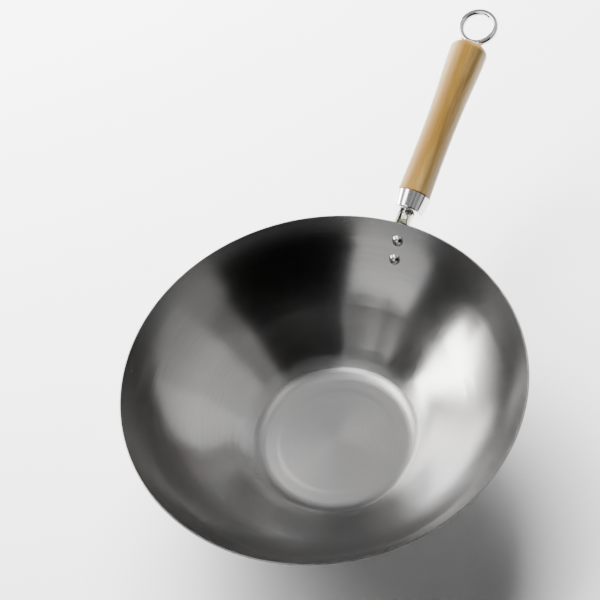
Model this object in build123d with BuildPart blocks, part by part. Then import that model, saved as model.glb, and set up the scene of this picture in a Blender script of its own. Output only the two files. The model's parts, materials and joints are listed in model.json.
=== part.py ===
from build123d import *
from math import asin, atan, cos, degrees, radians, sin, sqrt, tan
import os

# Carbon steel wok with a wooden handle and a hanging ring, in millimetres.
# Origin at the centre of the foot's underside, +Z up, handle towards +X.

# Shell
rim_radius = 177.8
rim_height = 102.0
sheet = 1.5
foot_radius = 71.0
foot_knuckle = 22.0
lower_curve_reach = 21.0
lower_curve_rise = 14.7357
cone_below_chord = 6.9848
rim_above_chord = 13.5152
foot_flat = 16.0
panel_rise = 0.4
panel_slant = 3.5
panel_bend = 15.0
rim_edge_share = 0.3

# Rivets, the upper one measured down the wall from the handle's axis
rivet_below_axis = 7.2
rivet_pitch = 18.0
rivet_shank = 5.0
rivet_clearance = 0.1
rivet_head = 10.0
rivet_dome = 2.7
rivet_head_edge = 0.5
rivet_tail = 8.4
rivet_tail_height = 2.0
rivet_tail_round = 0.7

# Bracket
bracket_sheet = 1.8
plate_top_drop = 7.0
plate_below_rivet = 10.0
plate_top_width = 24.0
plate_bottom_width = 19.0
plate_top_round = 4.0
plate_bottom_round = 9.0
channel_width = 13.2
channel_root_width = 17.0
channel_below = 6.6
channel_above = 4.4
channel_tail_gap = 0.25
channel_round = 5.4
channel_root_round = 3.4
channel_root_reach = 4.0
channel_straight = 8.0
shoulder_round = 2.6
channel_gap = 1.0
sleeve_diameter = 8.4
sleeve_reach = 13.0
slit_width = 1.4

# Handle axis
handle_tilt = 15.0
axis_drop = 10.1
ferrule_standoff = 20.8

# Ferrule
ferrule_length = 16.2
ferrule_face = 28.0
ferrule_mouth = 32.8
ferrule_wall = 0.8
ferrule_hole = 14.4
ferrule_corner = 1.8

# Grip, lengths measured from the ferrule's mouth
grip_setback = 3.5
grip_seat_diameter = 27.1
grip_mouth_diameter = 30.1
grip_waist_diameter = 28.8
grip_waist_at = 53.0
grip_palm_diameter = 31.8
grip_palm_at = 112.0
grip_butt_diameter = 35.0
grip_butt_at = 150.8
grip_dome = 9.8
grip_edge = 0.8
grip_bore = 5.8
grip_counterbore = 11.0
dish_diameter = 16.0
dish_floor_diameter = 9.6
dish_depth = 3.1

# Tie rod, ring, nut and washers
rod_diameter = 5.0
rod_end = 1.6
rod_chamfer = 0.5
collar_diameter = 8.6
collar_cope_share = 0.25
thread_clearance = 0.06
ring_outer_diameter = 38.4
ring_wire = 6.4
ring_gap = 0.3
nut_across_flats = 8.0
nut_height = 4.0
nut_chamfer = 0.4
lock_washer_outer = 8.8
lock_washer_height = 1.2
lock_washer_split = 1.0
lock_washer_angle = 20.0
seat_washer_outer = 10.6
seat_washer_height = 1.2
rod_clearance = 0.3

# Cutting tools run past the faces they cut by this much
overrun = 2.0

os.makedirs("parts", exist_ok=True)

# The wall's section climbs from the top of its lower curve to the rim. It is a cone, flatter than
# the chord between the two, then an arc that ends steeper than the chord. Places on the outer
# face are given by the drop from the rim along that arc.
lower_curve_top = foot_radius + lower_curve_reach
chord_across = rim_radius - lower_curve_top
chord_up = rim_height - lower_curve_rise
chord_angle = atan(chord_up / chord_across)
wall_angle = chord_angle - radians(cone_below_chord)
rim_angle = chord_angle + radians(rim_above_chord)
arc_turn = rim_angle - wall_angle
arc_tangent = sqrt(chord_across**2 + chord_up**2) * sin(radians(cone_below_chord)) / sin(arc_turn)
upper_curve = arc_tangent / tan(arc_turn / 2)


def out_of_wall(drop):
    """Unit vector square to the wall's outer face, at a drop from the rim."""
    slope = rim_angle - drop / upper_curve
    return Vector(sin(slope), 0, -cos(slope))


curve_centre = Vector(rim_radius, 0, rim_height) - out_of_wall(0) * upper_curve


def on_wall(drop, outward=0.0):
    """Point in the XZ plane, a drop down the outer face and a distance out from it."""
    return curve_centre + out_of_wall(drop) * (upper_curve + outward)


def wall_plane(drop):
    """Plane tangent to the wall, looking outwards, its local X along the rim."""
    return Plane(origin=on_wall(drop), x_dir=(0, 1, 0), z_dir=out_of_wall(drop))


# Drops down the wall to the rivets and to the plate's rounded foot
upper_rivet_drop = axis_drop + rivet_below_axis
lower_rivet_drop = upper_rivet_drop + rivet_pitch
rivet_drops = (upper_rivet_drop, lower_rivet_drop)
plate_bottom_drop = lower_rivet_drop + plate_below_rivet

# The handle's axis leaves the wall below the rim and rises at its tilt
tilt = radians(handle_tilt)
axis_direction = Vector(cos(tilt), 0, sin(tilt))
axis_up = Vector(-sin(tilt), 0, cos(tilt))
face_centre = on_wall(axis_drop) + axis_direction * ferrule_standoff
handle_axis = Axis(face_centre, axis_direction)
# Local X along the handle from the ferrule's end face, local Y upwards
handle_side = Plane(origin=face_centre, x_dir=axis_direction, z_dir=(0, -1, 0))


def across_handle(along):
    """Plane square to the handle, its local X sideways and local Y upwards."""
    return Plane(origin=face_centre + axis_direction * along, x_dir=(0, 1, 0), z_dir=axis_direction)


grip_start = grip_setback
mouth_at = ferrule_length
butt_at = mouth_at + grip_butt_at
dish_radius = dish_diameter / 2
butt_radius = grip_butt_diameter / 2
dish_edge_at = butt_at + grip_dome * sqrt(1 - (dish_radius / butt_radius) ** 2)
dish_floor_at = dish_edge_at - dish_depth
ring_radius = ring_outer_diameter / 2
# The ring's outer edge clears the dish's edge by the ring gap
ring_centre_at = dish_edge_at + ring_gap + sqrt(ring_radius**2 - dish_radius**2)
channel_end_at = -channel_gap
neck_wall_at = channel_end_at - bracket_sheet
nut_seat_at = neck_wall_at - lock_washer_height
nut_end_at = nut_seat_at - nut_height
sleeve_bore = rod_diameter + 2 * rod_clearance

# Wok shell: one sheet, drawn as its outer face and thickened inwards. Above the foot the face
# curves into a cone, and the cone into the arc that ends at the rim.
curve_foot = on_wall(upper_curve * arc_turn)
panel_radius = foot_radius - foot_flat - panel_slant
with BuildPart() as wok_shell:
    with BuildSketch(Plane.XZ) as shell_section:
        with BuildLine() as shell_line:
            Polyline(
                (0, panel_rise),
                (panel_radius, panel_rise),
                (panel_radius + panel_slant, 0),
                (foot_radius, 0),
            )
            cone = Line((lower_curve_top, lower_curve_rise), (curve_foot.X, curve_foot.Z))
            TangentArc(cone @ 0, (foot_radius, 0), tangent=(-cos(wall_angle), -sin(wall_angle)))
            TangentArc(cone @ 1, (rim_radius, rim_height), tangent=cone % 1)
            corners = shell_line.vertices().sort_by(Axis.X)
            fillet(corners[1:3], radius=panel_bend)
            fillet(shell_line.vertices().sort_by_distance((foot_radius, 0))[0], radius=foot_knuckle)
            offset(amount=sheet, side=Side.LEFT)
        make_face()
        rim_corners = shell_section.vertices().sort_by(Axis.Y)[-2:]
        fillet(rim_corners, radius=sheet * rim_edge_share)
    revolve(axis=Axis.Z)
    for drop in rivet_drops:
        with BuildSketch(wall_plane(drop)):
            Circle(rivet_shank / 2 + rivet_clearance)
        extrude(amount=sheet + overrun, both=True, mode=Mode.SUBTRACT)
wok_shell.part.label = "wok_shell"

# Solid wedge on the wall's side of its outer face, wide enough to trim the bracket
plate_half_turn = atan(plate_top_width / on_wall(plate_bottom_drop).X)
plate_start = Plane(
    origin=(0, 0, 0),
    x_dir=(cos(plate_half_turn), -sin(plate_half_turn), 0),
    z_dir=(-sin(plate_half_turn), -cos(plate_half_turn), 0),
)


def wall_strip(top_drop, bottom_drop, outward):
    """Closed line round a strip of the wall's section, from its outer face to outward."""
    drops = (top_drop, (top_drop + bottom_drop) / 2, bottom_drop)
    near, far = (
        ThreePointArc(*[(point.X, point.Z) for point in [on_wall(drop, out) for drop in drops]])
        for out in (0, outward)
    )
    for end in (0, 1):
        Line(near @ end, far @ end)


with BuildPart() as wall_side:
    with BuildSketch(plate_start):
        with BuildLine():
            wall_strip(-overrun, plate_bottom_drop, -channel_width)
        make_face()
    revolve(axis=Axis.Z, revolution_arc=degrees(2 * plate_half_turn))

# Bracket's channel: open on top, straight round the nut and spreading to a shallow root.
# Its floor slants from just above the upper rivet's tail to its full depth at the bend.
channel_root_at = -ferrule_standoff - channel_root_reach
channel_bend_at = channel_end_at - channel_straight
tail_top = on_wall(upper_rivet_drop - rivet_tail / 2, bracket_sheet) - face_centre
tail_top_at = tail_top.dot(axis_direction)
floor_at_tail = -tail_top.dot(axis_up) - channel_tail_gap
floor_slant = (channel_below - floor_at_tail) / (channel_bend_at - tail_top_at)
channel_root_below = channel_below - floor_slant * (channel_bend_at - channel_root_at)


def trough_face(along, width, below, corner, inset):
    """The channel's section, or its hollow when inset by the sheet."""
    half_width = width / 2 - inset
    floor = inset - below
    top = channel_above + inset
    with BuildSketch(across_handle(along)) as trough:
        with BuildLine():
            Polyline(
                (-half_width, top),
                (-half_width, floor),
                (half_width, floor),
                (half_width, top),
                close=True,
            )
        make_face()
        fillet(trough.vertices().group_by(Axis.Y)[0], radius=corner - inset)
    return trough.sketch


with BuildPart() as channel:
    for inset, mode in ((0, Mode.ADD), (bracket_sheet, Mode.SUBTRACT)):
        root = trough_face(
            channel_root_at, channel_root_width, channel_root_below, channel_root_round, inset
        )
        neck = trough_face(channel_bend_at, channel_width, channel_below, channel_round, inset)
        loft([root, neck], mode=mode)
        extrude(neck, amount=channel_straight - inset, dir=axis_direction, mode=mode)
    add(wall_side.part, mode=Mode.SUBTRACT)
    # The flanges' upper corners are rounded where they meet the end wall
    with BuildSketch(handle_side):
        with Locations((channel_end_at, channel_above)):
            Rectangle(shoulder_round, shoulder_round, align=(Align.MAX, Align.MAX))
        with Locations((channel_end_at - shoulder_round, channel_above - shoulder_round)):
            Circle(shoulder_round, mode=Mode.SUBTRACT)
    extrude(amount=channel_width, both=True, mode=Mode.SUBTRACT)
    # Neck drawn out of the end wall, bored for the rod and slit along its top
    with BuildSketch(across_handle(neck_wall_at)):
        Circle(sleeve_diameter / 2)
    extrude(amount=sleeve_reach - neck_wall_at)
    with BuildSketch(across_handle(neck_wall_at)):
        Circle(sleeve_bore / 2)
        with Locations((0, channel_width / 2)):
            Rectangle(slit_width, channel_width)
    extrude(amount=sleeve_reach - neck_wall_at, mode=Mode.SUBTRACT)

# Bracket: the spade plate lies on the wall and the channel grows out of it
plate_length = plate_bottom_drop - plate_top_drop
with BuildPart() as handle_bracket:
    with BuildSketch(plate_start):
        with BuildLine():
            wall_strip(plate_top_drop - overrun, plate_bottom_drop + overrun, bracket_sheet)
        make_face()
    revolve(axis=Axis.Z, revolution_arc=degrees(2 * plate_half_turn))
    with BuildSketch(wall_plane(plate_top_drop + plate_length / 2)) as spade:
        with BuildLine():
            Polyline(
                (-plate_top_width / 2, plate_length / 2),
                (plate_top_width / 2, plate_length / 2),
                (plate_bottom_width / 2, -plate_length / 2),
                (-plate_bottom_width / 2, -plate_length / 2),
                close=True,
            )
        make_face()
        fillet(spade.vertices().group_by(Axis.Y)[-1], radius=plate_top_round)
        fillet(spade.vertices().group_by(Axis.Y)[0], radius=plate_bottom_round)
    extrude(amount=bracket_sheet + overrun, both=True, mode=Mode.INTERSECT)
    for drop in rivet_drops:
        with BuildSketch(wall_plane(drop)):
            Circle(rivet_shank / 2 + rivet_clearance)
        extrude(amount=bracket_sheet + overrun, both=True, mode=Mode.SUBTRACT)
    add(channel.part)
handle_bracket.part.label = "handle_bracket"

# Rivets: dome head inside the bowl, closed head on the bracket's plate
rivet_radius = rivet_head / 2
for rivet_name, drop in zip(("rivet_upper", "rivet_lower"), rivet_drops):
    # The wall is hollow under a flat head, which stands off by the wall's deeper sag across it
    around = out_of_wall(drop).X / on_wall(drop).X
    head_sag = rivet_radius**2 * max(around, 1 / upper_curve) / 2
    head_seat = -sheet - head_sag
    dome_edge = (head_seat - rivet_head_edge, rivet_radius)
    dome_top = (head_seat - rivet_dome, 0)
    tail_end = bracket_sheet + rivet_tail_height
    with BuildPart() as rivet:
        with BuildSketch(Plane(origin=on_wall(drop), x_dir=out_of_wall(drop), z_dir=(0, -1, 0))):
            with BuildLine():
                TangentArc(dome_top, dome_edge, tangent=(0, 1))
                Polyline(
                    dome_edge,
                    (head_seat, rivet_radius),
                    (head_seat, rivet_shank / 2),
                    (bracket_sheet, rivet_shank / 2),
                    (bracket_sheet, rivet_tail / 2),
                )
                FilletPolyline(
                    (bracket_sheet, rivet_tail / 2),
                    (tail_end, rivet_tail / 2),
                    (tail_end, 0),
                    radius=rivet_tail_round,
                )
                Line((tail_end, 0), dome_top)
            make_face()
        revolve(axis=Axis(on_wall(drop), out_of_wall(drop)))
    rivet.part.label = rivet_name
    export_step(rivet.part, f"parts/{rivet_name}.step")

# Ferrule: a drawn cup, its end face pierced for the bracket's neck
with BuildPart() as ferrule:
    with BuildSketch(handle_side):
        with BuildLine():
            FilletPolyline(
                (0, ferrule_hole / 2),
                (0, ferrule_face / 2),
                (ferrule_length, ferrule_mouth / 2),
                radius=ferrule_corner,
            )
            offset(amount=ferrule_wall, side=Side.RIGHT)
        make_face()
    revolve(axis=handle_axis)
ferrule.part.label = "ferrule"

# Grip: turned profile from the ferrule's end to the dished butt
counterbore_end = sleeve_reach + seat_washer_height
dish_angle = degrees(asin(dish_radius / butt_radius))
with BuildPart() as handle_grip:
    with BuildSketch(handle_side):
        with BuildLine():
            side = Spline(
                (mouth_at, grip_mouth_diameter / 2),
                (mouth_at + grip_waist_at, grip_waist_diameter / 2),
                (mouth_at + grip_palm_at, grip_palm_diameter / 2),
                (butt_at, butt_radius),
                tangents=((grip_waist_at, (grip_waist_diameter - grip_mouth_diameter) / 2), (1, 0)),
            )
            dome = EllipticalCenterArc(
                (butt_at, 0),
                x_radius=grip_dome,
                y_radius=butt_radius,
                start_angle=dish_angle,
                arc_size=90 - dish_angle,
            )
            Polyline(
                dome @ 0,
                (dish_floor_at, dish_floor_diameter / 2),
                (dish_floor_at, grip_bore / 2),
                (counterbore_end, grip_bore / 2),
                (counterbore_end, grip_counterbore / 2),
                (grip_start, grip_counterbore / 2),
                (grip_start, grip_seat_diameter / 2 - grip_edge),
                (grip_start + grip_edge, grip_seat_diameter / 2),
                (mouth_at, grip_mouth_diameter / 2),
            )
        make_face()
    revolve(axis=handle_axis)
handle_grip.part.label = "handle_grip"

# Hanging ring: a round wire, flat in the plane of the handle and the rim
ring_centre = face_centre + axis_direction * ring_centre_at
ring_path_radius = ring_radius - ring_wire / 2
with BuildPart() as hanging_ring:
    with BuildSketch(Plane(origin=ring_centre, x_dir=axis_direction, z_dir=(0, -1, 0))):
        with Locations((ring_path_radius, 0)):
            Circle(ring_wire / 2)
    revolve(axis=Axis(ring_centre, axis_up))
hanging_ring.part.label = "hanging_ring"

# Tie rod: its collar sits in the grip's dish and is coped to the ring's wire
rod_start = nut_end_at - rod_end
collar_start = dish_floor_at + ring_gap
collar_end = ring_centre_at - ring_radius + ring_wire * collar_cope_share
with BuildPart() as tie_rod:
    with BuildSketch(handle_side):
        with BuildLine():
            Polyline(
                (rod_start, 0),
                (rod_start, rod_diameter / 2 - rod_chamfer),
                (rod_start + rod_chamfer, rod_diameter / 2),
                (collar_start, rod_diameter / 2),
                (collar_start, collar_diameter / 2),
                (collar_end, collar_diameter / 2),
                (collar_end, 0),
                close=True,
            )
        make_face()
    revolve(axis=handle_axis)
    add(hanging_ring.part, mode=Mode.SUBTRACT)
tie_rod.part.label = "tie_rod"

# Nut in the channel, its corners chamfered as turned hexagon bar
with BuildPart() as rod_nut:
    with BuildSketch(across_handle(nut_end_at)):
        RegularPolygon(radius=nut_across_flats / 2, side_count=6, major_radius=False)
        Circle(rod_diameter / 2 + thread_clearance, mode=Mode.SUBTRACT)
    extrude(amount=nut_height)
    with BuildSketch(handle_side):
        nut_corner = nut_across_flats / sqrt(3)
        with BuildLine():
            Polyline(
                (nut_end_at, 0),
                (nut_end_at, nut_corner - nut_chamfer),
                (nut_end_at + nut_chamfer, nut_corner),
                (nut_seat_at - nut_chamfer, nut_corner),
                (nut_seat_at, nut_corner - nut_chamfer),
                (nut_seat_at, 0),
                close=True,
            )
        make_face()
    revolve(axis=handle_axis, mode=Mode.INTERSECT)
rod_nut.part.label = "rod_nut"

# Split lock washer between the nut and the end wall
with BuildPart() as lock_washer:
    with BuildSketch(across_handle(nut_seat_at)):
        Circle(lock_washer_outer / 2)
        Circle(rod_diameter / 2 + rod_clearance, mode=Mode.SUBTRACT)
        with PolarLocations(lock_washer_outer / 2, 1, start_angle=90 + lock_washer_angle):
            Rectangle(lock_washer_outer, lock_washer_split, mode=Mode.SUBTRACT)
    extrude(amount=lock_washer_height)
lock_washer.part.label = "lock_washer"

# Flat washer that spreads the sleeve's push at the bottom of the counterbore
with BuildPart() as seat_washer:
    with BuildSketch(across_handle(sleeve_reach)):
        Circle(seat_washer_outer / 2)
        Circle(rod_diameter / 2 + rod_clearance, mode=Mode.SUBTRACT)
    extrude(amount=seat_washer_height)
seat_washer.part.label = "seat_washer"

finished = (
    wok_shell,
    handle_bracket,
    ferrule,
    handle_grip,
    tie_rod,
    hanging_ring,
    rod_nut,
    lock_washer,
    seat_washer,
)
for piece in finished:
    export_step(piece.part, f"parts/{piece.part.label}.step")
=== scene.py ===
import json
import math

import bpy
from mathutils import Matrix, Vector


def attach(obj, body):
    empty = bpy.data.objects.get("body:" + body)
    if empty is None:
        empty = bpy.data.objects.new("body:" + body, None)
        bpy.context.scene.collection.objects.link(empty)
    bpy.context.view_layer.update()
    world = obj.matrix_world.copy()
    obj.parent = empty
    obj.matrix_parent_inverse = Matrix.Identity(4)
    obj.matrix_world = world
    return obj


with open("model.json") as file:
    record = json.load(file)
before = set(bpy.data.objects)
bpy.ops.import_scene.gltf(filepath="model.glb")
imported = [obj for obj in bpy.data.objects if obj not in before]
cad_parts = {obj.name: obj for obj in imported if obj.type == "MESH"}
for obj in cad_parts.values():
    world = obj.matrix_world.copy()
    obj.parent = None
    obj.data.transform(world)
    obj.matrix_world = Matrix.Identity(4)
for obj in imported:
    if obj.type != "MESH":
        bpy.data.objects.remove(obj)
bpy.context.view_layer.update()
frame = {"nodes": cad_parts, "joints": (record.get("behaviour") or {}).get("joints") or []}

# The photograph's view: where the camera stands, where it looks and which way is up in the picture
camera_place = Vector((-0.77392, -0.54992, 1.53749))
camera_forward = Vector((0.47701, 0.34016, -0.8104))
camera_up = Vector((0.78026, 0.2605, 0.56862))
camera_lens = 120.0
camera_sensor = 36.0
camera_reach = 50.0

# Studio. A direction is an azimuth in the picture's sense, 0 to its right and 90 away from the
# camera, and a tilt from straight up, both in degrees.
camera_right = camera_forward.cross(camera_up)
picture_right = Vector((camera_right.x, camera_right.y, 0)).normalized()
picture_away = Vector((0, 0, 1)).cross(picture_right)
backdrop_colour = (0.9, 0.905, 0.91)
room_level = 0.46
fill_level = 0.11
floor_size = 14.0
floor_colour = (0.9, 0.9, 0.9)
card_distance = 3.0
card_steps = 12
lamp_distance = 1.9
lamp_size = (1.7, 1.3)

# The handle's axis is the joint's, through the ring's centre
ring_centre = Vector(frame["joints"][0]["pos_m"])
handle_direction = Vector(frame["joints"][0]["axis"])
handle_up = handle_direction.cross(Vector((0, -1, 0)))
grip_width = 0.035
ferrule_mouth = max(
    (vertex.co - ring_centre).dot(handle_direction) for vertex in frame["nodes"]["ferrule"].data.vertices
)
seam_width = 0.0012

# Weld between the rod's collar and the ring's wire
ring_outer_radius = 0.0192
wire_radius = 0.0032
collar_radius = 0.0043
collar_bite = 0.0016
bead_radius = 0.0008
bead_ripple = 0.12
bead_ripples = 11
bead_sides = 12
bead_turns = 72

# Steel. Each fade is a pair of distances from the bowl's axis, and wall_share turns the way out
# and up the wall into the way along it.
step_fade = (0.057, 0.061)
step_softness = 2.0
floor_fade = (0.066, 0.09)
floor_roughness = 0.27
wall_roughness = 0.12
# The next two values darken the steel's colour between two distances towards the rim, down to the given
# share: painted shade.
painted_shade_fade = (0.122, 0.158)
painted_rim_shade = 0.6
rim_fade = (0.158, 0.178)
least_radius = 0.0001
wall_share = 0.7
steel_cool = (0.5, 0.5, 0.505)
steel_warm = (0.54, 0.53, 0.515)
even_weight = 100

# Wood colours by the place across the grip as a share of its width: partly the wood's own strips, partly
# painted light, lighter near both edges as painted highlight and painted reflection and darkest past the
# middle as painted shade
strip_colours_and_painted_light = (
    (0.0, (0.5, 0.36, 0.17)),
    (0.22, (0.43, 0.28, 0.1)),
    (0.42, (0.21, 0.12, 0.026)),
    (0.58, (0.12, 0.063, 0.01)),
    (0.75, (0.2, 0.118, 0.03)),
    (1.0, (0.34, 0.27, 0.14)),
)
strip_wander = 0.012
figure_colour = (0.14, 0.074, 0.012)
fibre_colour = (0.09, 0.045, 0.008)
# Painted shade on the wood at its edge where it enters the ferrule.
seam_shade_colour = (0.08, 0.04, 0.015)

# Plated and bright pieces
chrome_colours = (0.9, 0.893, 0.885), (0.95, 0.943, 0.935)
zinc_colours = (0.8, 0.8, 0.7), (0.92, 0.92, 0.84)
rivet_colours = (0.52, 0.515, 0.5), (0.68, 0.675, 0.66)
mark_depth = 0.0002
turning_depth = 0.0001
turning_waves = 2500.0


def direction(azimuth, tilt):
    """Unit vector towards a place in the studio."""
    turn, lean = math.radians(azimuth), math.radians(tilt)
    level = picture_right * math.cos(turn) + picture_away * math.sin(turn)
    return level * math.sin(lean) + Vector((0, 0, math.cos(lean)))


# Node helpers


def add_node(tree, kind, values=None, **settings):
    """Adds a node. values maps each input to a number, a colour or another node's output."""
    made = tree.nodes.new(kind)
    for name, setting in settings.items():
        setattr(made, name, setting)
    for socket, value in (values or {}).items():
        if isinstance(value, bpy.types.NodeSocket):
            tree.links.new(value, made.inputs[socket])
        else:
            made.inputs[socket].default_value = value
    return made


def calc(tree, operation, *values):
    """Output of a Math node."""
    return add_node(tree, "ShaderNodeMath", dict(enumerate(values)), operation=operation).outputs[0]


def total(tree, *values):
    """Sum of several values."""
    result = values[0]
    for value in values[1:]:
        result = calc(tree, "ADD", result, value)
    return result


def remap(tree, value, low, high, new_low=0.0, new_high=1.0, kind="SMOOTHSTEP"):
    """A value eased from one range to another and held at its ends."""
    values = {"Value": value, "From Min": low, "From Max": high, "To Min": new_low, "To Max": new_high}
    return add_node(tree, "ShaderNodeMapRange", values, interpolation_type=kind).outputs["Result"]


def dot(tree, vector, fixed):
    """Part of a vector along a fixed direction."""
    return add_node(
        tree, "ShaderNodeVectorMath", {0: vector, 1: tuple(fixed)}, operation="DOT_PRODUCT"
    ).outputs["Value"]


def join_vector(tree, x, y, z):
    """Vector from three values."""
    return add_node(tree, "ShaderNodeCombineXYZ", {"X": x, "Y": y, "Z": z}).outputs[0]


def noise(tree, vector, scale, detail=2.0, roughness=0.5):
    """Noise from about 0.3 to 0.7; scale is in waves per unit of the vector."""
    values = {"Vector": vector, "Scale": scale, "Detail": detail, "Roughness": roughness}
    return add_node(tree, "ShaderNodeTexNoise", values).outputs["Fac"]


def blend(tree, factor, first, second, kind="MIX"):
    """Colour between two, each a colour or an output."""
    sides = [side if isinstance(side, bpy.types.NodeSocket) else (*side, 1.0) for side in (first, second)]
    values = {0: factor, 6: sides[0], 7: sides[1]}
    return add_node(tree, "ShaderNodeMix", values, data_type="RGBA", blend_type=kind).outputs[2]


def ramp(tree, value, stops):
    """Colour from a list of places and colours."""
    made = add_node(tree, "ShaderNodeValToRGB", {"Fac": value})
    elements = made.color_ramp.elements
    while len(elements) < len(stops):
        elements.new(1.0)
    for element, (place, colour) in zip(elements, stops):
        element.position = place
        element.color = (*colour, 1.0)
    return made.outputs["Color"]


def bump(tree, height, strength, distance, **more):
    """Normal output of a Bump node. more holds other inputs, such as the normal that it starts from."""
    values = {"Height": height, "Strength": strength, "Distance": distance, **more}
    return add_node(tree, "ShaderNodeBump", values).outputs["Normal"]


def new_material(name):
    """Empty node material, its tree and its output node."""
    material = bpy.data.materials.new(name)
    material.use_nodes = True
    tree = material.node_tree
    tree.nodes.clear()
    return material, tree, tree.nodes.new("ShaderNodeOutputMaterial")


def surface(tree, output, values):
    """Principled shader joined to a material's output."""
    shader = add_node(tree, "ShaderNodeBsdfPrincipled", values)
    tree.links.new(shader.outputs[0], output.inputs["Surface"])


def object_place(tree):
    """Place in the part's own frame, in metres."""
    return add_node(tree, "ShaderNodeTexCoord").outputs["Object"]


# Studio


def make_camera():
    """Camera of the photograph's view."""
    camera = bpy.data.objects.new("camera", bpy.data.cameras.new("camera"))
    bpy.context.scene.collection.objects.link(camera)
    forward = camera_forward.normalized()
    right = forward.cross(camera_up).normalized()
    up = right.cross(forward)
    turned = Matrix((right, up, -forward)).transposed()
    camera.matrix_world = Matrix.Translation(camera_place) @ turned.to_4x4()
    camera.data.lens = camera_lens
    camera.data.sensor_width = camera_sensor
    camera.data.clip_end = camera_reach
    bpy.context.scene.camera = camera


def make_world():
    """Pale backdrop for the camera, a dimmer room in reflections and a soft fill on matt surfaces."""
    world = bpy.data.worlds.new("studio")
    bpy.context.scene.world = world
    world.use_nodes = True
    tree = world.node_tree
    tree.nodes.clear()
    path = add_node(tree, "ShaderNodeLightPath").outputs
    mirrored = remap(tree, path["Is Glossy Ray"], 0, 1, fill_level, room_level, "LINEAR")
    seen = calc(tree, "MAXIMUM", path["Is Camera Ray"], path["Is Transmission Ray"])
    level = calc(tree, "MAXIMUM", mirrored, seen)
    background = add_node(
        tree, "ShaderNodeBackground", {"Color": (*backdrop_colour, 1.0), "Strength": level}
    )
    output = tree.nodes.new("ShaderNodeOutputWorld")
    tree.links.new(background.outputs[0], output.inputs["Surface"])


def make_floor():
    """White table, which also closes the picture."""
    half = floor_size / 2
    mesh = bpy.data.meshes.new("floor")
    corners = [(-half, -half, 0), (half, -half, 0), (half, half, 0), (-half, half, 0)]
    mesh.from_pydata(corners, [], [(0, 1, 2, 3)])
    floor = bpy.data.objects.new("floor", mesh)
    bpy.context.scene.collection.objects.link(floor)
    material, tree, output = new_material("floor_paper")
    paper = add_node(tree, "ShaderNodeBsdfDiffuse", {"Color": (*floor_colour, 1.0)})
    tree.links.new(paper.outputs[0], output.inputs["Surface"])
    mesh.materials.append(material)


def make_card(name, azimuths, tilts, level):
    """A curved studio card that shows only in reflections; level 1 is white."""
    points, faces = [], []
    for i in range(card_steps + 1):
        for j in range(card_steps + 1):
            azimuth = azimuths[0] + (azimuths[1] - azimuths[0]) * i / card_steps
            tilt = tilts[0] + (tilts[1] - tilts[0]) * j / card_steps
            points.append(direction(azimuth, tilt) * card_distance)
    row = card_steps + 1
    for i in range(card_steps):
        for j in range(card_steps):
            corner = i * row + j
            faces.append((corner, corner + 1, corner + row + 1, corner + row))
    mesh = bpy.data.meshes.new(name)
    mesh.from_pydata(points, [], faces)
    card = bpy.data.objects.new(name, mesh)
    bpy.context.scene.collection.objects.link(card)
    material, tree, output = new_material(name)
    glow = add_node(tree, "ShaderNodeEmission", {"Color": (1, 1, 1, 1), "Strength": level})
    tree.links.new(glow.outputs[0], output.inputs["Surface"])
    material.cycles.emission_sampling = "NONE"
    mesh.materials.append(material)
    card.visible_camera = False
    card.visible_diffuse = False
    card.visible_shadow = False
    card.visible_transmission = False
    card.visible_volume_scatter = False


def make_cards():
    """Windows, grey cards and dark flags, by their azimuths, tilts and levels."""
    for name, azimuths, tilts, level in (
        ("window_middle", (120, 180), (63, 74), 16.0),
        ("window_low", (120, 172), (74, 82), 12.0),
        ("window_sill", (120, 172), (82, 92), 0.5),
        ("window_high", (122, 150), (40, 63), 1.1),
        ("window_top", (150, 180), (40, 63), 0.7),
        ("roof_end", (110, 128), (18, 25), 5.0),
        ("roof_low", (128, 185), (25, 40), 9.0),
        ("roof_middle", (185, 225), (20, 31), 5.0),
        ("roof_high", (225, 244), (18, 28), 6.0),
        ("ceiling", (0, 360), (0, 14), 0.22),
        ("ceiling_far", (85, 124), (14, 24), 0.3),
        ("ceiling_front", (250, 335), (14, 24), 0.33),
        ("roof_right", (335, 400), (14, 26), 1.5),
        ("roof_far", (40, 80), (20, 30), 1.2),
        ("flag_far", (66, 120), (44, 84), 0.12),
        ("flag_left", (180, 208), (42, 92), 0.07),
        ("flag_left_low", (208, 213), (76, 92), 0.15),
        ("card_left", (208, 247), (52, 76), 1.25),
        ("card_left_near", (224, 247), (47, 52), 0.85),
        ("card_left_low", (213, 247), (76, 92), 0.85),
        ("flag_over_card", (208, 224), (38, 52), 0.1),
        ("flag_over_near", (224, 247), (38, 47), 0.1),
        ("flag_front", (250, 325), (37, 62), 0.004),
        ("flag_front_low", (247, 321), (62, 77), 0.004),
        ("front_skirting", (247, 321), (77, 92), 0.2),
        ("flag_over_front", (250, 325), (24, 37), 0.16),
        ("card_right_front", (325, 344), (44, 60), 0.24),
        ("card_right_low", (321, 344), (62, 80), 0.5),
        ("card_right_middle", (344, 364), (48, 80), 0.66),
        ("card_right_back", (364, 378), (50, 80), 0.7),
        ("card_right_far", (378, 404), (54, 80), 0.95),
        ("card_over_right", (364, 400), (26, 46), 0.3),
        ("card_skirting", (321, 404), (80, 92), 0.08),
    ):
        make_card(name, azimuths, tilts, level)


def make_lights():
    """Large soft lights, by azimuth, tilt and power; both stand on the window's side."""
    for name, azimuth, tilt, power in (("key", 105, 52, 235.0), ("side", 143, 50, 75.0)):
        lamp = bpy.data.lights.new(name, "AREA")
        lamp.shape = "RECTANGLE"
        lamp.size, lamp.size_y = lamp_size
        lamp.energy = power
        light = bpy.data.objects.new(name, lamp)
        towards = direction(azimuth, tilt)
        light.location = towards * lamp_distance
        light.rotation_mode = "QUATERNION"
        light.rotation_quaternion = towards.to_track_quat("Z", "Y")
        light.visible_camera = False
        light.visible_glossy = False
        bpy.context.scene.collection.objects.link(light)


# Materials


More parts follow.
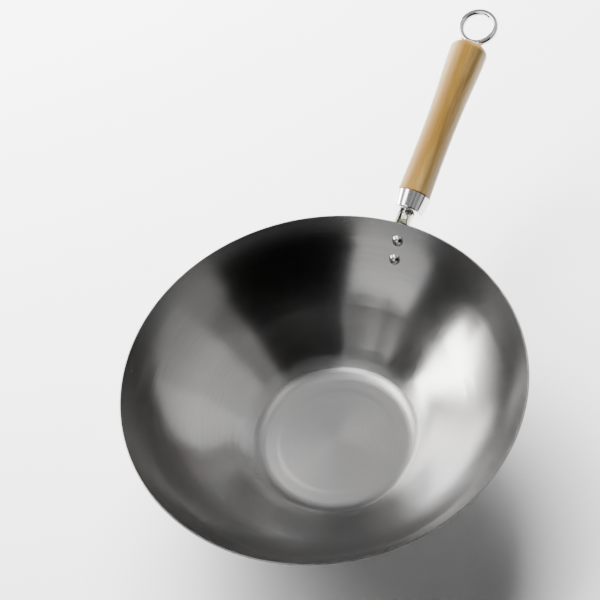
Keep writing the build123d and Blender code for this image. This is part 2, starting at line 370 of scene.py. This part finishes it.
def bowl_place(tree):
    """Distance from the bowl's axis, the azimuth's cosine and sine, and the height."""
    x, y, z = add_node(tree, "ShaderNodeSeparateXYZ", {"Vector": object_place(tree)}).outputs
    squares = calc(tree, "ADD", calc(tree, "MULTIPLY", x, x), calc(tree, "MULTIPLY", y, y))
    radius = calc(tree, "MAXIMUM", calc(tree, "SQRT", squares), least_radius)
    return radius, calc(tree, "DIVIDE", x, radius), calc(tree, "DIVIDE", y, radius), z


def rings(tree, place, around, across, detail=3.0):
    """Noise drawn out into rings round the bowl; across is in waves per metre up the wall."""
    radius, cosine, sine, height = place
    path = total(tree, *(calc(tree, "MULTIPLY", part, wall_share) for part in (radius, height)))
    turned = [calc(tree, "MULTIPLY", part, around) for part in (cosine, sine)]
    return noise(tree, join_vector(tree, *turned, calc(tree, "MULTIPLY", path, across)), 1.0, detail)


def soft_normal(tree, radius, inside):
    """The surface's direction, turned towards straight up where polishing has worn the panel's step."""
    lift = calc(tree, "MULTIPLY", remap(tree, radius, *step_fade, step_softness, 0.0), inside)
    leaned = add_node(tree, "ShaderNodeVectorMath", {
        0: add_node(tree, "ShaderNodeNewGeometry").outputs["Normal"],
        1: join_vector(tree, 0.0, 0.0, lift),
    }, operation="ADD").outputs["Vector"]
    return add_node(tree, "ShaderNodeVectorMath", {0: leaned}, operation="NORMALIZE").outputs["Vector"]


def make_carbon_steel():
    """Bare steel, polished in rings inside and duller outside."""
    material, tree, output = new_material("carbon_steel")
    place = bowl_place(tree)
    radius = place[0]
    grain = rings(tree, place, around=4.0, across=900.0)
    bands = rings(tree, place, around=1.1, across=55.0, detail=2.0)
    patches = noise(tree, object_place(tree), scale=11.0, detail=3.0)
    marks = noise(tree, object_place(tree), scale=70.0, detail=6.0, roughness=0.7)
    normal = add_node(tree, "ShaderNodeNewGeometry").outputs["True Normal"]
    facing_down = remap(tree, dot(tree, normal, (0, 0, 1)), 0.05, -0.05)
    roughness = remap(tree, radius, *floor_fade, floor_roughness, wall_roughness)
    for part, weight in (
        (bands, 0.06),
        (patches, 0.05),
        (remap(tree, radius, *rim_fade), 0.08),
        (facing_down, 0.14),
        (remap(tree, marks, 0.6, 0.7), 0.03),
    ):
        roughness = calc(tree, "ADD", roughness, calc(tree, "MULTIPLY", part, weight))
    tint = blend(tree, remap(tree, patches, 0.35, 0.65), steel_cool, steel_warm)
    streaks = remap(tree, grain, 0.25, 0.75, 0.94, 1.0)
    # The grain's streaks, times a darkening of the colour towards the rim that is painted shade.
    grain_and_painted_shade = calc(tree, "MULTIPLY", streaks, remap(tree, radius, *painted_shade_fade, 1.0, painted_rim_shade))
    worn_normal = soft_normal(tree, radius, inside=calc(tree, "SUBTRACT", 1.0, facing_down))
    surface(tree, output, {
        "Base Color": blend(tree, 1.0, tint, join_vector(tree, grain_and_painted_shade, grain_and_painted_shade, grain_and_painted_shade), "MULTIPLY"),
        "Metallic": 1.0,
        "Roughness": roughness,
        "Anisotropic": 0.2,
        "Anisotropic Rotation": 0.25,
        "Tangent": add_node(tree, "ShaderNodeTangent", direction_type="RADIAL", axis="Z").outputs[0],
        "Normal": bump(tree, grain, strength=0.02, distance=mark_depth, Normal=worn_normal),
    })
    return material


def handle_place(tree):
    """Distances along the handle from the ring's centre, across it and above its axis."""
    start = tuple(ring_centre)
    offset = add_node(
        tree, "ShaderNodeVectorMath", {0: object_place(tree), 1: start}, operation="SUBTRACT"
    ).outputs["Vector"]
    return [dot(tree, offset, axis) for axis in (handle_direction, (0, 1, 0), handle_up)]


def make_wood():
    """Varnished light wood, its grain along the handle."""
    material, tree, output = new_material("wood")
    along, across, above = handle_place(tree)

    def drawn_out(length_waves, width_waves, detail):
        """Noise by waves per metre along the handle and across it."""
        vector = join_vector(
            tree,
            calc(tree, "MULTIPLY", along, length_waves),
            calc(tree, "MULTIPLY", across, width_waves),
            calc(tree, "MULTIPLY", above, width_waves),
        )
        return noise(tree, vector, 1.0, detail)

    figure = drawn_out(length_waves=7.0, width_waves=120.0, detail=3.0)
    fibres = drawn_out(length_waves=30.0, width_waves=1500.0, detail=2.0)
    drift = drawn_out(length_waves=9.0, width_waves=30.0, detail=1.0)
    wander = calc(tree, "MULTIPLY", calc(tree, "SUBTRACT", drift, 0.5), strip_wander)
    strip = calc(tree, "ADD", across, wander)
    # Colour across the grip: the wood's strips, with painted highlight and painted reflection near the
    # edges and painted shade past the middle.
    strip_colour_with_painted_light = ramp(tree, remap(tree, strip, -grip_width / 2, grip_width / 2, kind="LINEAR"), strip_colours_and_painted_light)
    colour = blend(tree, remap(tree, figure, 0.4, 0.6, 0.0, 0.5), strip_colour_with_painted_light, figure_colour)
    colour = blend(tree, remap(tree, fibres, 0.48, 0.7, 0.0, 0.45), colour, fibre_colour)
    # The wood darkens in a narrow band beside the ferrule's mouth: painted shade in the gap between the
    # parts.
    seam_shade = remap(tree, along, ferrule_mouth + seam_width, ferrule_mouth + 2 * seam_width)
    colour = blend(tree, seam_shade, seam_shade_colour, colour)
    surface(tree, output, {
        "Base Color": colour,
        "Roughness": remap(tree, fibres, 0.3, 0.7, 0.38, 0.5),
        "Specular IOR Level": 0.2,
        "Coat Weight": 0.12,
        "Coat Roughness": 0.2,
        "Normal": bump(tree, fibres, strength=0.15, distance=mark_depth),
    })
    return material


def make_chrome():
    """Bright plate with faint smears and turning lines."""
    material, tree, output = new_material("chrome")
    along, across, above = handle_place(tree)
    turned = calc(tree, "MULTIPLY", along, turning_waves)
    lines = noise(tree, join_vector(tree, turned, across, above), scale=1.0)
    smears = noise(tree, object_place(tree), scale=90.0, detail=3.0)
    surface(tree, output, {
        "Base Color": blend(tree, remap(tree, smears, 0.3, 0.7), *chrome_colours),
        "Metallic": 1.0,
        "Roughness": remap(tree, smears, 0.3, 0.7, 0.04, 0.13),
        "Normal": bump(tree, lines, strength=0.04, distance=turning_depth),
    })
    return material


def make_zinc():
    """Bright zinc plate, slightly mottled, yellow-green in tint."""
    material, tree, output = new_material("zinc")
    mottle = noise(tree, object_place(tree), scale=420.0, detail=3.0, roughness=0.6)
    surface(tree, output, {
        "Base Color": blend(tree, remap(tree, mottle, 0.35, 0.65), *zinc_colours),
        "Metallic": 1.0,
        "Roughness": remap(tree, mottle, 0.35, 0.65, 0.3, 0.42),
        "Normal": bump(tree, mottle, strength=0.03, distance=mark_depth),
    })
    return material


def make_rivet_steel():
    """Bright steel, finely marked by the rivet set."""
    material, tree, output = new_material("rivet_steel")
    marks = noise(tree, object_place(tree), scale=900.0, detail=3.0, roughness=0.6)
    surface(tree, output, {
        "Base Color": blend(tree, remap(tree, marks, 0.3, 0.7), *rivet_colours),
        "Metallic": 1.0,
        "Roughness": remap(tree, marks, 0.3, 0.7, 0.12, 0.26),
        "Normal": bump(tree, marks, strength=0.08, distance=mark_depth),
    })
    return material


def dress(material, *node_names):
    """Gives CAD nodes their material."""
    for node_name in node_names:
        mesh = frame["nodes"][node_name].data
        mesh.materials.clear()
        mesh.materials.append(material)


# Pieces that only the scene has


def weld_seam(turn):
    """Place on the edge where the rod's collar meets the ring's wire."""
    across = collar_radius * math.cos(turn)
    above = collar_radius * math.sin(turn)
    path_radius = ring_outer_radius - wire_radius
    wire_half = math.sqrt(max(wire_radius**2 - above**2, 0.0))
    reach = math.sqrt((path_radius + wire_half) ** 2 - across**2)
    reach = max(reach, ring_outer_radius - collar_bite)
    return ring_centre - handle_direction * reach + Vector((0, across, 0)) + handle_up * above


def make_weld():
    """Rippled bead round the joint of ring and rod."""
    points, faces = [], []
    for i in range(bead_turns):
        turn = 2 * math.pi * i / bead_turns
        centre = weld_seam(turn)
        outward = Vector((0, math.cos(turn), 0)) + handle_up * math.sin(turn)
        radius = bead_radius * (1 + bead_ripple * math.sin(bead_ripples * turn))
        for j in range(bead_sides):
            lean = 2 * math.pi * j / bead_sides
            points.append(centre + (outward * math.cos(lean) + handle_direction * math.sin(lean)) * radius)
            k, m = (i + 1) % bead_turns, (j + 1) % bead_sides
            faces.append((i * bead_sides + j, k * bead_sides + j, k * bead_sides + m, i * bead_sides + m))
    mesh = bpy.data.meshes.new("ring_weld")
    mesh.from_pydata(points, [], faces)
    mesh.polygons.foreach_set("use_smooth", [True] * len(faces))
    weld = bpy.data.objects.new("ring_weld", mesh)
    bpy.context.scene.collection.objects.link(weld)
    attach(weld, "ring_rod")
    return weld


make_camera()
make_world()
make_floor()
make_cards()
make_lights()

chrome = make_chrome()
dress(make_carbon_steel(), "wok_shell")
dress(make_zinc(), "handle_bracket", "rod_nut", "lock_washer", "seat_washer", "tie_rod")
dress(make_rivet_steel(), "rivet_upper", "rivet_lower")
dress(chrome, "ferrule", "hanging_ring")
dress(make_wood(), "handle_grip")
make_weld().data.materials.append(chrome)

# Even shading on the flat and curved faces of the sheet
even = frame["nodes"]["wok_shell"].modifiers.new("even_normals", "WEIGHTED_NORMAL")
even.keep_sharp = True
even.weight = even_weight
